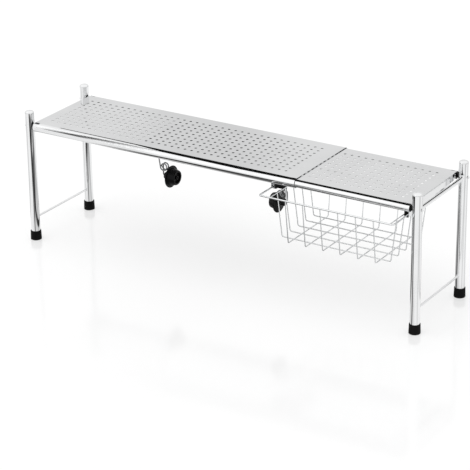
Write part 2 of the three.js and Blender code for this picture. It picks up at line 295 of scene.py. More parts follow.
class NodeBoard:
    """Adds shader nodes to one tree and links them."""

    def __init__(self, tree: bpy.types.NodeTree) -> None:
        """Keeps the tree that the nodes go to."""
        self.tree = tree

    def feed(self, socket: Socket, value: Any) -> None:
        """Links a socket to another one, or sets its value.

        Args:
            socket: The socket that is fed.
            value: The other socket, or the value.
        """
        if isinstance(value, Socket):
            self.tree.links.new(value, socket)
        else:
            socket.default_value = value

    def add(self, kind: str, inputs: dict[Any, Any] | None = None, **settings: Any) -> Node:
        """Adds a node.

        Args:
            kind: The node's type name without its "ShaderNode".
            inputs: Values or sockets for its inputs, by their names or places.
            **settings: Values for the node's own properties.

        Returns:
            The new node.
        """
        node = self.tree.nodes.new(kind if kind.startswith("Node") else f"ShaderNode{kind}")
        for name, value in settings.items():
            setattr(node, name, value)
        for key, value in (inputs or {}).items():
            self.feed(node.inputs[key], value)
        return node

    def math(self, operation: str, *values: Any, clamp: bool = False) -> Socket:
        """Output of a Math node with these numbers or sockets."""
        inputs = dict(enumerate(values))
        return self.add("Math", inputs, operation=operation, use_clamp=clamp).outputs[0]

    def vector(self, operation: str, *values: Any, output: int | str = 0) -> Socket:
        """Output of a Vector Math node with these vectors or sockets."""
        return self.add("VectorMath", dict(enumerate(values)), operation=operation).outputs[output]

    def times(self, first: Any, *others: Any) -> Socket:
        """Multiplies numbers or sockets.

        Args:
            first: The first factor.
            *others: The other factors.

        Returns:
            The product's socket.
        """
        for other in others:
            first = self.math("MULTIPLY", first, other)
        return first

    def less(self, value: Any, share: Any = 1.0) -> Socket:
        """One less a share of a value."""
        return self.math("SUBTRACT", 1.0, self.times(value, share))

    def ramp(self, value: Any, low: float, high: float, start: Any = 0.0, end: Any = 1.0) -> Socket:
        """Adds a smooth Map Range.

        Args:
            value: What is mapped.
            low: Value that gives the start.
            high: Value that gives the end.
            start: Result at the low value.
            end: Result at the high value.

        Returns:
            The mapped value's socket.
        """
        inputs = {"Value": value, "From Min": low, "From Max": high, "To Min": start, "To Max": end}
        node = self.add("MapRange", inputs, interpolation_type="SMOOTHSTEP", clamp=True)
        return node.outputs["Result"]

    def noise(self, vector: Any, scale: Any, detail: float = 2.0) -> Socket:
        """Factor of a Noise Texture."""
        inputs = {"Vector": vector, "Scale": scale, "Detail": detail}
        return self.add("TexNoise", inputs).outputs[0]

    def mix(self, factor: Any, first: Any, second: Any) -> Socket:
        """Mix of two colours."""
        inputs = {"Factor": factor, 6: first, 7: second}
        return self.add("Mix", inputs, data_type="RGBA", clamp_factor=True).outputs[2]

    def blend(self, factor: Socket, first: Node, second: Node) -> Node:
        """Mix Shader node of two shaders."""
        return self.add("MixShader", {0: factor, 1: first.outputs[0], 2: second.outputs[0]})


class Surface(NodeBoard):
    """Nodes of one material."""

    def __init__(self, name: str, inputs: dict[str, Any]) -> None:
        """Makes the material.

        Args:
            name: Its name.
            inputs: Values for its main shader.
        """
        self.material = bpy.data.materials.new(name)
        self.material.use_nodes = True
        super().__init__(self.material.node_tree)
        self.shader = self.tree.nodes["Principled BSDF"]
        self.dress(inputs)

    def dress(self, inputs: dict[str, Any]) -> None:
        """Gives the main shader values or sockets."""
        for name, value in inputs.items():
            self.feed(self.shader.inputs[name], value)


def grey(tone: float) -> tuple[float, ...]:
    """Opaque grey of a tone."""
    return (tone, tone, tone, 1.0)


class SurfaceGroup(Enum):
    """Shader node groups that several finishes share."""

    HAZE = "surface_haze"
    GRAIN = "moulded_grain"

    def tree(self) -> bpy.types.NodeTree:
        """Builds the group's tree at its first use.

        Returns:
            The tree.
        """
        found = bpy.data.node_groups.get(self.value)
        if found:
            return found
        tree = bpy.data.node_groups.new(self.value, "ShaderNodeTree")
        for way, kind, names in (
            ("INPUT", "Float", ("Scale", "Roughness", "Spread")),
            ("INPUT", "Color", ("Colour", "Marked Colour")),
            ("OUTPUT", "Color", ("Colour",)),
            ("OUTPUT", "Float", ("Roughness", "Height")),
        ):
            for name in names:
                tree.interface.new_socket(name, in_out=way, socket_type=f"NodeSocket{kind}")
        board = NodeBoard(tree)
        given = board.add("NodeGroupInput").outputs
        place = board.add("TexCoord").outputs["Object"]
        if self is SurfaceGroup.HAZE:
            wide = board.ramp(board.noise(place, given["Scale"], 3.0), 0.4, 0.68)
            fine = board.noise(place, board.times(given["Scale"], 22.0), 3.0)
            mask = board.math("MULTIPLY", wide, board.ramp(fine, 0.25, 0.75), clamp=True)
            height = board.noise(place, board.times(given["Scale"], 1.6), 1.0)
        else:
            fine = board.noise(place, given["Scale"], 2.0)
            mask = board.ramp(fine, 0.35, 0.7)
            pits = board.noise(place, board.times(given["Scale"], 3.0), 1.0)
            height = board.math("ADD", fine, board.times(pits, 0.5))
        spread = board.times(mask, given["Spread"])
        made = {
            "Colour": board.mix(mask, given["Colour"], given["Marked Colour"]),
            "Roughness": board.math("ADD", given["Roughness"], spread, clamp=True),
            "Height": height,
        }
        board.add("NodeGroupOutput", made)
        return tree


def steel(tone: float) -> Colour:
    """Cool grey of bright metal."""
    return (tone, tone + 0.005, tone + 0.01)


@dataclass(frozen=True)
class Finish:
    """One surface finish.

    Attributes:
        name: Its name, also the material's.
        slot: The record's material slot, not used.
        colour: Its colour.
        marked: Its colour where it is hazed, smudged or worn.
        roughness: Its roughness where it is clean.
        spread: How much rougher the marks are.
        scale: Scale of the marks.
        group: The shared effect that draws the marks.
        metallic: 1 for metal.
        specular: Specular level of what isn't metal.
        bump: Height of the bumps in metres.
    """

    name: str
    slot: str
    colour: Colour
    marked: Colour
    roughness: float
    spread: float
    scale: float
    group: SurfaceGroup = SurfaceGroup.HAZE
    metallic: float = 1.0
    specular: float = 0.5
    bump: float = 0.0

    def material(self) -> bpy.types.Material:
        """Builds the finish's material at its first use.

        Returns:
            The material.
        """
        found = bpy.data.materials.get(self.name)
        if found:
            return found
        board = Surface(self.name, {"Metallic": self.metallic, "Specular IOR Level": self.specular})
        board.material.diffuse_color = (*self.colour, 1.0)
        inputs = {"Scale": self.scale, "Roughness": self.roughness, "Spread": self.spread}
        inputs["Colour"] = self.tint(board)
        inputs["Marked Colour"] = (*self.marked, 1.0)
        effect = board.add("Group", inputs, node_tree=self.group.tree()).outputs
        board.dress({"Base Color": effect["Colour"], "Roughness": effect["Roughness"]})
        if self.bump > 0:
            inputs = {"Strength": 1.0, "Distance": self.bump, "Height": effect["Height"]}
            board.dress({"Normal": board.add("Bump", inputs).outputs["Normal"]})
        return board.material

    def tint(self, board: NodeBoard) -> Any:
        """Colour of the clean surface, a value or a socket."""
        return (*self.colour, 1.0)


@dataclass(frozen=True)
class PiercedFinish(Finish):
    """Dark edge of the punched holes, partly the rough punched edge and partly painted shade of the
    hole's depth. A painted reflection brightens it towards the right and the front left.

    Attributes:
        bright: Its colour where the painted reflection is brightest.
        right_end: X between which the painted reflection brightens the edges towards the right.
        left_end: Places between which the painted reflection brightens them towards the front left.
        left_line: X and Y of the line along which those places count.
    """

    bright: Colour = (0.85, 0.85, 0.85)
    right_end: Pair = (0.0, 0.12)
    left_end: Pair = (-0.25, -0.37)
    left_line: Pair = (1.0, 2.0)

    def tint(self, board: NodeBoard) -> Socket:
        """Colour of the edge, with a painted reflection that brightens it towards the right and the
        front left.

        Args:
            board: Where its nodes go.

        Returns:
            The colour's socket.
        """
        place = board.add("TexCoord").outputs["Object"]
        x = board.add("SeparateXYZ", {0: place}).outputs[0]
        along = board.vector("DOT_PRODUCT", place, (*self.left_line, 0.0), output="Value")
        # painted reflection: masks by place that brighten the hole edges towards the right and the
        # front left
        ends = board.ramp(x, *self.right_end), board.ramp(along, *self.left_end)
        return board.mix(board.math("MAXIMUM", *ends), (*self.colour, 1.0), (*self.bright, 1.0))


CHROME = Finish(
    "bright_chrome", "chrome_tube", steel(0.9), steel(0.84),
    roughness=0.045, spread=0.05, scale=26.0,
)
SHEET = Finish(
    "mirror_polished_sheet", "polished_sheet", steel(0.84), steel(0.77),
    roughness=0.05, spread=0.06, scale=9.0, bump=0.0001,
)
SHEET_EDGE = Finish(
    "sheared_edge", "polished_sheet", steel(0.5), steel(0.35),
    roughness=0.3, spread=0.15, scale=60.0,
)
SPRING = Finish(
    "spring_wire", "bright_wire", steel(0.34), steel(0.24),
    roughness=0.14, spread=0.1, scale=60.0,
)
WIRE = Finish(
    "bright_wire", "bright_wire", steel(0.64), steel(0.5),
    roughness=0.1, spread=0.08, scale=40.0,
)
PLASTIC = Finish(
    "black_moulded_plastic", "black_plastic", (0.005, 0.005, 0.0055), (0.011, 0.011, 0.0115),
    roughness=0.3, spread=0.12, scale=900.0,
    group=SurfaceGroup.GRAIN, metallic=0.0, specular=0.14, bump=0.00003,
)
RUBBER = Finish(
    "black_rubber", "rubber", (0.004, 0.004, 0.004), (0.009, 0.009, 0.009),
    roughness=0.55, spread=0.15, scale=650.0,
    group=SurfaceGroup.GRAIN, metallic=0.0, specular=0.1, bump=0.00005,
)
# Hole edges: dark partly as rough punched steel and partly as painted shade of the hole's depth,
# with a painted reflection towards the right and the front left
PIERCED_EDGE_SHADE = PiercedFinish(
    "dark_pierced_edge", "polished_sheet", (0.015, 0.015, 0.016), (0.06, 0.06, 0.06),
    roughness=0.45, spread=0.2, scale=700.0, group=SurfaceGroup.GRAIN, metallic=0.0, specular=0.2,
)


# Making pieces


def linked(name: str, data: Any) -> Object:
    """Makes an object of these data.

    Args:
        name: The object's name.
        data: Its mesh, lamp or lens.

    Returns:
        The object, linked to the scene.
    """
    obj = bpy.data.objects.new(name, data)
    bpy.context.scene.collection.objects.link(obj)
    return obj


class SubAssembly:
    """Part of the shelf, which makes pieces that stand for the CAD nodes."""

    def rough(self, name: str, shape: Shape, closed: bool = True) -> Object:
        """Makes a plain object in metres from a shape.

        Args:
            name: The object's name.
            shape: Its points and faces.
            closed: Whether it's closed, so that its faces are turned outward.

        Returns:
            The object, linked to the scene.
        """
        mesh = bpy.data.meshes.new(name)
        placed = [(x * MM, (y + STAND_OFFSET) * MM, z * MM) for x, y, z in shape.points]
        mesh.from_pydata(placed, [], shape.faces)
        mesh.polygons.foreach_set("material_index", shape.marks)
        made = bmesh.new()
        made.from_mesh(mesh)
        bmesh.ops.remove_doubles(made, verts=made.verts, dist=WELD_DISTANCE)
        if closed:
            bmesh.ops.recalc_face_normals(made, faces=made.faces)
        made.to_mesh(mesh)
        made.free()
        return linked(name, mesh)

    def modify(self, obj: Object, kind: str, **settings: Any) -> None:
        """Changes an object's mesh by a modifier.

        Args:
            obj: The object.
            kind: The modifier's type.
            **settings: The modifier's values.
        """
        modifier = obj.modifiers.new(kind, kind)
        for name, value in settings.items():
            setattr(modifier, name, value)
        bpy.context.view_layer.update()
        graph = bpy.context.evaluated_depsgraph_get()
        old = obj.data
        obj.data = bpy.data.meshes.new_from_object(obj.evaluated_get(graph))
        obj.modifiers.clear()
        bpy.data.meshes.remove(old)

    def cut(self, obj: Object, tool: Shape) -> None:
        """Cuts a closed shape out of a piece.

        Args:
            obj: The piece.
            tool: The shape that is cut away.
        """
        cutter = self.rough("cutter", tool)
        self.modify(obj, "BOOLEAN", operation="DIFFERENCE", solver="EXACT", object=cutter)
        mesh = cutter.data
        bpy.data.objects.remove(cutter)
        bpy.data.meshes.remove(mesh)

    def place(
        self, node: str, shape: Shape, *finishes: Finish, wall: float = 0.0,
        tool: Shape | None = None, soften: float = 0.0, crease: float = 32.0,
    ) -> None:
        """Makes a piece that stands for a CAD node.

        Args:
            node: The node's name.
            shape: The piece's shape, closed unless it has a wall.
            *finishes: Its finishes, in the order of the faces' marks.
            wall: Thickness of a sheet whose outer side is the shape.
            tool: A shape that is cut away.
            soften: Width of the bevel on a boxy piece's edges.
            crease: Angle in degrees above which an edge stays sharp.
        """
        obj = self.rough(f"{node}_piece", shape, closed=not wall)
        for finish in finishes:
            obj.data.materials.append(finish.material())
        if wall > 0:
            rim = {"use_even_offset": True, "use_quality_normals": True, "material_offset_rim": 1}
            self.modify(obj, "SOLIDIFY", thickness=wall * MM, offset=-1.0, **rim)
        if tool:
            self.cut(obj, tool)
        if soften > 0:
            self.modify(obj, "BEVEL", width=soften * MM, segments=3, limit_method="ANGLE")
        obj.data.shade_smooth()
        obj.data.set_sharp_from_angle(angle=math.radians(crease))
        body = frame["nodes"][node]["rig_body"]
        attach(obj, body)
        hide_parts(node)
        LOG.info("%s on %s: %d faces", obj.name, body, len(obj.data.polygons))


@dataclass
class ShelfPart(SubAssembly):
    """Sizes that the end frames and the panels share."""

    half_depth: float = 96.0
    roll_height: float = 254.25
    panel_end: float = 436.25


# End frames


@dataclass(kw_only=True)
class EndFrame(ShelfPart):
    """Two chromed posts with their caps, feet, cross members, screws and plugs.

    A profile lists the radius and the place along its axis of each turn of its outline.
    """

    side: Side
    roll_inner: float
    half_span: float = 450.0
    post_top: float = 288.0
    post_radius: float = 9.75
    post_wall: float = 1.2
    post_lift: float = 3.0
    post_edge: float = 0.25
    hole_band: float = 6.0
    hole_reach: float = 11.75
    cap_dome: float = 5.0
    cap_spigot: float = 9.0
    cap_edge: float = 0.2
    dome_steps: int = 14
    foot_height: float = 20.0
    foot_base: float = 11.8
    foot_rim: float = 11.2
    foot_crease: float = 50.0
    rod_radius: float = 2.25
    rod_height: float = 48.0
    bar_radius: float = 4.0
    bar_height: float = 251.5
    weld_reach: float = 0.5
    weld_flare: tuple[Pair, ...] = ((1.2, 0.0), (0.95, 0.7), (0.45, 1.3), (0.15, 2.0), (0.0, 3.0))
    plug_length: float = 18.0
    plug_edge: float = 0.4
    collar_radius: float = 4.5
    screw_radius: float = 2.0
    screw_clearance: float = 0.4
    screw_reach: float = 12.0
    head_radius: float = 3.6
    head_depth: float = 1.9
    recess_width: float = 0.8
    recess_length: float = 3.8
    recess_depth: float = 1.2

    def build(self) -> None:
        """Makes every piece of the frame."""
        way, x = self.side.value, self.side.value * self.half_span
        self.member("lower_rod", self.rod_height, self.rod_radius)
        self.member("upper_bar", self.bar_height, self.bar_radius)
        for row in Row:
            name, y = f"{self.side.word}_{row.word}", row.value * self.half_depth
            foot, level = (x, y, 0.0), (0.0, y, self.roll_height)
            hole = Shape().turned(self.hole, (x, y, self.roll_height), Axis.X, sides=24)
            screw = Shape().turned(self.screw, level, Axis.X, way, 32)
            plug = Shape().turned(self.plug, level, Axis.X, way, 40)
            self.place(f"{name}_post", Shape().turned(self.post, foot), CHROME, tool=hole)
            self.place(f"{name}_cap", Shape().turned(self.cap, foot), CHROME)
            cup = Shape().turned(self.foot, foot)
            self.place(f"{name}_foot", cup, RUBBER, crease=self.foot_crease)
            self.place(f"{name}_screw", screw, CHROME, tool=self.recess(y))
            self.place(f"{name}_plug", plug, PLASTIC)

    def member(self, name: str, z: float, radius: float) -> None:
        """Makes a cross member whose ends flare into welds on the posts.

        Args:
            name: The member's name without its side.
            z: Its height.
            radius: Its radius.
        """
        end = self.half_depth - self.post_radius + self.weld_reach
        near = [(radius + grow, -end + along) for grow, along in self.weld_flare]
        far = [(r, -along) for r, along in reversed(near)]
        centre = (self.side.value * self.half_span, 0.0, z)
        made = Shape().turned([(0.0, -end), *near, *far, (0.0, end)], centre, Axis.Y, sides=32)
        self.place(f"{self.side.word}_{name}", made, CHROME)

    @property
    def bore(self) -> float:
        """Radius of the holes that the screw passes."""
        return self.screw_radius + self.screw_clearance

    @property
    def seat(self) -> float:
        """Distance of the screw heads' underside from the shelf's middle."""
        return self.half_span + self.post_radius + TOUCH

    @property
    def post(self) -> list[Pair]:
        """Profile of a post's tube, with rings above and below its cross hole."""
        outer, edge, low = self.post_radius, self.post_edge, self.post_lift
        inner, top = outer - self.post_wall, self.post_top - self.cap_dome
        below, above = self.roll_height - self.hole_band, self.roll_height + self.hole_band
        outside = [(outer, z) for z in (low + edge, below, above, top - edge)]
        inside = [(inner, z) for z in (top, above, below, low)]
        start = (outer - edge, low)
        return [start, *outside, (outer - edge, top), *inside, start]

    @property
    def hole(self) -> list[Pair]:
        """Profile of a post's cross hole."""
        reach = self.hole_reach
        return [(0.0, -reach), (self.bore, -reach), (self.bore, reach), (0.0, reach)]

    @property
    def cap(self) -> list[Pair]:
        """Profile of a domed cap and its spigot."""
        outer, edge, seat = self.post_radius, self.cap_edge, self.post_top - self.cap_dome + TOUCH
        spigot, low = outer - self.post_wall - TOUCH, seat - self.cap_spigot
        rise = self.post_top - seat - edge
        turns = [math.pi / 2 * i / self.dome_steps for i in range(self.dome_steps)]
        dome = [(outer * math.cos(t), seat + edge + rise * math.sin(t)) for t in turns]
        stem = [(0.0, low), (spigot - 2 * edge, low), (spigot, low + 2 * edge), (spigot, seat)]
        return [*stem, (outer - edge, seat), *dome, (0.0, self.post_top)]

    @property
    def foot(self) -> list[Pair]:
        """Profile of a rubber foot, a cup with rounded edges."""
        base, rim, top = self.foot_base, self.foot_rim, self.foot_height
        bore, floor = self.post_radius + TOUCH, self.post_lift - TOUCH
        return [
            (0.0, 0.0), (base - 1.3, 0.0), (base - 0.6, 0.12), (base - 0.15, 0.5), (base, 1.1),
            (base - 0.03, 2.4), (rim + 0.02, top - 1.0), (rim - 0.1, top - 0.35),
            (rim - 0.4, top - 0.04), (bore + 0.35, top - 0.02), (bore + 0.06, top - 0.3),
            (bore, top - 0.7), (bore, floor), (0.0, floor),
        ]

    @property
    def screw(self) -> list[Pair]:
        """Profile of a screw, from its tip inside the roll to its domed head."""
        seat, tip = self.seat, self.panel_end - self.screw_reach
        shank, head, deep = self.screw_radius, self.head_radius, self.head_depth
        dome = [(0.84, 0.68), (0.6, 0.88), (0.3, 0.98), (0.0, 1.0)]
        return [
            (0.0, tip), (shank - 0.5, tip), (shank, tip + 0.7), (shank, seat), (head - 0.2, seat),
            (head, seat + 0.2), (head - 0.08, seat + 0.35 * deep),
            *((head * wide, seat + deep * high) for wide, high in dome),
        ]

    @property
    def plug(self) -> list[Pair]:
        """Profile of a black plug in the roll and its spacer collar."""
        plug, collar, edge = self.roll_inner - TOUCH, self.collar_radius, self.plug_edge
        end, inside = self.panel_end, self.panel_end - self.plug_length
        outside = self.half_span - self.post_radius - TOUCH
        return [
            (self.bore, inside), (plug - edge, inside), (plug, inside + edge), (plug, end - edge),
            (plug - edge, end), (collar, end), (collar, outside - edge), (collar - edge, outside),
            (self.bore, outside), (self.bore, inside),
        ]

    def recess(self, y: float) -> Shape:
        """Makes the cross recess of a screw's head.

        Args:
            y: Y of the screw.

        Returns:
            The shape that is cut away.
        """
        out = self.seat + self.head_depth
        ends = sorted(self.side.value * end for end in (out + 1.0, out - self.recess_depth))
        wide, long = self.recess_width / 2, self.recess_length / 2
        arms = [(wide, wide), (wide, long), (-wide, long), (-wide, wide), (-long, wide)]
        arms.append((-long, -wide))
        plan = [(y + a, self.roll_height + b) for a, b in [*arms, *((-a, -b) for a, b in arms)]]
        return Shape().loft([[(x, *spot) for spot in plan] for x in ends])


# Shelf panels


@dataclass(kw_only=True)
class RolledPanel(ShelfPart):
    """Perforated sheet whose long edges roll under and whose outer end folds down.

    Lengths along the panel count inward from its outer end.
    """

    node: str
    side: Side
    radius: float
    inset: float
    hole_drop: float
    free_field: Pair = (0.0, 0.0)
    free_drop: float = 1.2
    length: float = 626.0
    wall: float = 0.8
    sweep_share: float = 0.84
    roll_steps: int = 56
    pitch: float = 15.6
    rows: int = 10
    columns: int = 37
    hole_sides: int = 12
    hole_radius: float = 2.9
    lip_radius: float = 3.25
    lip_drop: float = 0.3
    strip: float = 1.0
    slit: float = 13.0
    slot_turn: float = 24.0
    bend: float = 1.6
    support: float = 0.6
    bend_steps: int = 6
    flange_drop: float = 15.0
    flange_half: float = 85.25
    flange_corner: float = 3.0
    shape: Shape = field(default_factory=Shape)

    def build(self) -> None:
        """Makes the panel."""
        self.holes()
        self.margins()
        self.rolls()
        self.flange()
        self.place(self.node, self.shape, SHEET, SHEET_EDGE, PIERCED_EDGE_SHADE, wall=self.wall)

    def __post_init__(self) -> None:
        """Works out the lengths that follow from the sizes."""
        self.top = self.roll_height + self.radius
        self.edge = self.half_depth - self.strip
        self.brink = self.bend + self.support
        self.field_start = self.inset - self.pitch / 2
        self.field_end = self.field_start + self.columns * self.pitch
        self.spread = self.pitch / 2 * math.tan(math.radians(30))

    def sheet(self, spots: Sequence[Point], mark: int = 0) -> None:
        """Adds a face of the sheet.

        Args:
            spots: Length from the outer end, Y and Z of each corner, counter-clockwise from
                outside where lengths count towards +X.
            mark: Finish of the face.
        """
        points = [(self.side.value * (self.panel_end - along), y, z) for along, y, z in spots]
        self.shape.polygon(points if self.side is Side.LEFT else points[::-1], mark)

    def holes(self) -> None:
        """Adds the perforated field, one square of sheet round each hole."""
        half, count, top = self.pitch / 2, self.hole_sides, self.top
        rim = [(half, 0.0), (half, self.spread), (self.spread, half)]
        for _ in range(3):
            rim += [(-b, a) for a, b in rim[-3:]]
        turns = [2 * math.pi * k / count for k in range(count)]
        circle = [(math.cos(t), math.sin(t)) for t in turns]
        for column in range(self.columns):
            u = self.inset + column * self.pitch
            free = self.free_field[0] < u < self.free_field[1]
            low = (self.hole_radius, self.free_drop if free else self.hole_drop)
            drops = (self.lip_radius, 0.0), (self.hole_radius, self.lip_drop), low
            for row in range(self.rows):
                y = (row - (self.rows - 1) / 2) * self.pitch
                border = [(u + a, y + b, top) for a, b in rim]
                rings = [[(u + r * a, y + r * b, top - d) for a, b in circle] for r, d in drops]
                for k in range(count):
                    n = (k + 1) % count
                    corner = []
                    if k % 3 == 1:
                        a, b = (max(pair, key=abs) for pair in zip(rim[k], rim[n]))
                        corner = [(u + a, y + b, top)]
                    self.sheet([rings[0][k], border[k], *corner, border[n], rings[0][n]])
                    self.sheet([rings[1][k], rings[0][k], rings[0][n], rings[1][n]])
                    # the hole walls take the third finish, the dark edge with painted shade and a
                    # painted reflection
                    self.sheet([rings[2][k], rings[1][k], rings[1][n], rings[2][n]], mark=2)

    def border_places(self, start: float, count: int) -> list[float]:
        """Finds the squares' border points along one edge of the perforated field.

        Args:
            start: Where the edge starts.
            count: Number of squares along it.

        Returns:
            The points' places along the edge, with both ends.
        """
        offsets = (-self.pitch / 2, -self.spread, 0.0, self.spread)
        middles = [start + self.pitch * (i + 0.5) for i in range(count)]
        return [m + o for m in middles for o in offsets] + [start + count * self.pitch]

    def margins(self) -> None:
        """Adds the plain sheet round the perforated field, and the strips beside the rolls."""
        z, edge, brink, flange = self.top, self.edge, self.brink, self.flange_half
        start, end, half = self.field_start, self.field_end, self.rows * self.pitch / 2
        lengths = self.border_places(start, self.columns)
        widths = self.border_places(-half, self.rows)
        slit, length = self.slit, self.length
        front = [(start, -edge), (end, -edge), *((u, -half) for u in reversed(lengths))]
        back = [*((u, half) for u in lengths), (end, edge), (start, edge)]
        outer = [(brink, -edge), (slit, -edge), (start, -edge), *((start, y) for y in widths)]
        outer += [(start, edge), (slit, edge), (brink, edge), (brink, flange), (brink, -flange)]
        inner = [(end, -edge), (length, -edge), (length, edge), (end, edge)]
        inner += [(end, y) for y in reversed(widths)]
        for plan in (front, back, outer, inner):
            self.sheet([(u, y, z) for u, y in plan])
        cuts = [slit, start, end, length]
        for near, far in ((-self.half_depth, -edge), (edge, self.half_depth)):
            for a, b in zip(cuts, cuts[1:]):
                self.sheet([(a, near, z), (b, near, z), (b, far, z), (a, far, z)])

    def rolls(self) -> None:
        """Adds the rolled edges, each with an open slot on top at the outer end."""
        cuts = [0.0, self.slit, self.field_start, self.field_end, self.length]
        sweep = 2 * math.pi * self.sweep_share
        turns = [sweep * i / self.roll_steps for i in range(self.roll_steps + 1)]
        slotted = math.ceil(math.radians(self.slot_turn) / turns[1])
        out, up, radius = self.half_depth, self.roll_height, self.radius
        arc = [(out + radius * math.sin(t), up + radius * math.cos(t)) for t in turns]
        for way in (row.value for row in Row):
            line = [(way * y, z) for y, z in arc]
            for a, b in zip(cuts, cuts[1:]):
                open_line = line if a else line[slotted:]
                for (y0, z0), (y1, z1) in zip(open_line, open_line[1:]):
                    corners = [(a, y0, z0), (b, y0, z0), (b, y1, z1), (a, y1, z1)]
                    self.sheet(corners if way > 0 else corners[::-1])

    def flange(self) -> None:
        """Adds the fold at the outer end, with a rounded bend and rounded lower corners."""
        z, half, brink, bend = self.top, self.flange_half, self.brink, self.bend
        turns = [math.pi / 2 * i / self.bend_steps for i in range(self.bend_steps + 1)]
        curve = [(1 - math.sin(t), 1 - math.cos(t)) for t in turns]
        line = [(brink, z), *((bend * a, z - bend * b) for a, b in curve), (0.0, z - brink)]
        for (u0, z0), (u1, z1) in zip(line, line[1:]):
            self.sheet([(u0, -half, z0), (u0, half, z0), (u1, half, z1), (u1, -half, z1)])
        low, corner = z - self.flange_drop, self.flange_corner
        spots = [(half - corner * b, low + corner * a) for a, b in curve]
        face = [(-half, z - brink), (half, z - brink), *spots, *((-y, h) for y, h in spots[::-1])]
        self.sheet([(0.0, y, h) for y, h in face])
        for near, far in ((-self.edge, -half), (half, self.edge)):
            self.sheet([(0.0, near, z), (brink, near, z), (brink, far, z), (0.0, far, z)])


# Basket


@dataclass
class BasketPart(SubAssembly):
    """Sizes that the basket and its slides share."""

    rim_height: float = 232.0
    rim_radius: float = 1.7
    wire_radius: float = 1.1
    rail_left: float = 155.0
    rail_right: float = 415.0
    rim_left: float = 131.0
    rim_right: float = 422.5


@dataclass
class WireBasket(BasketPart):
    """Drawer basket of welded wire."""

    drop: float = 91.0
    front: float = 138.0
    back: float = 39.0
    taper: float = 11.0
    long_wires: int = 6
    long_pitch: float = 38.1
    cross_wires: int = 5
    cross_pitch: float = 30.5
    cross_first: float = -110.0
    wire_bend: float = 4.0
    rim_bend: float = 5.0
    rim_steps: int = 10
    rim_sides: int = 20
    rail_reach: float = 1.0
    long_sink: float = 1.2
    cross_sink: float = 0.4
    weld_across: float = 1.35
    weld_tall: float = 1.7

    def build(self) -> None:
        """Makes the rim, the rails and both sets of wires."""
        left, right, z = self.rim_left, self.rim_right, self.rim_height
        front, back = -self.front, self.back
        corners = [(right, back, z), (right, front, z), (left, front, z), (left, back, z)]
        loop = bent([corners[-1], *corners, corners[0]], self.rim_bend, self.rim_steps)[1:-1]
        rim = Shape().tube(loop, self.rim_radius, self.rim_sides, closed=True)
        self.place("basket_rim", rim, WIRE)
        for side, x in ((Side.LEFT, self.rail_left), (Side.RIGHT, self.rail_right)):
            ends = (front + self.rail_reach, back - self.rail_reach)
            rail = Shape().tube([Vector((x, y, z)) for y in ends], self.wire_radius)
            self.place(f"basket_rail_{side.word}", rail, WIRE)
        for i in range(self.long_wires):
            self.place(f"basket_long_wire_{i + 1}", self.long_wire(self.long_place(i)), WIRE)
        for i in range(self.cross_wires):
            wire = self.cross_wire(self.cross_first + i * self.cross_pitch)
            self.place(f"basket_cross_wire_{i + 1}", wire, WIRE)

    @property
    def floor(self) -> float:
        """Height of the long wires at the basket's floor."""
        return self.rim_height - self.drop

    @property
    def weld(self) -> list[Pair]:
        """Profile of a spot weld, an upright ellipsoid."""
        turns = [math.pi * i / 4 for i in range(1, 4)]
        belt = [(self.weld_across * math.sin(t), -self.weld_tall * math.cos(t)) for t in turns]
        return [(0.0, -self.weld_tall), *belt, (0.0, self.weld_tall)]

    def long_place(self, i: int) -> float:
        """X of a long wire."""
        middle = (self.rail_left + self.rail_right) / 2
        return middle + (i - (self.long_wires - 1) / 2) * self.long_pitch

    def cradle(self, low: float, high: float, top: float, floor: float) -> list[Pair]:
        """Corners of a wire that is bent up at both ends, along it and upward."""
        return [(low, top), (low + self.taper, floor), (high - self.taper, floor), (high, top)]

    def long_wire(self, x: float) -> Shape:
        """Makes a wire bent up at the front and at the back.

        Args:
            x: Its X.

        Returns:
            The wire.
        """
        corners = self.cradle(-self.front, self.back, self.rim_height - self.long_sink, self.floor)
        return Shape().tube(bent([(x, y, z) for y, z in corners], self.wire_bend), self.wire_radius)

    def cross_wire(self, y: float) -> Shape:
        """Makes a wire bent up at both sides, with the spot welds to the long wires.

        Args:
            y: Its Y.

        Returns:
            The wire with its welds.
        """
        floor, top = self.floor + 2 * self.wire_radius + TOUCH, self.rim_height - self.cross_sink
        corners = self.cradle(self.rail_left, self.rail_right, top, floor)
        line = bent([(x, y, z) for x, z in corners], self.wire_bend)
        made = Shape().tube(line, self.wire_radius)
        for i in range(self.long_wires):
            made.turned(self.weld, (self.long_place(i), y, (self.floor + floor) / 2), sides=8)
        return made


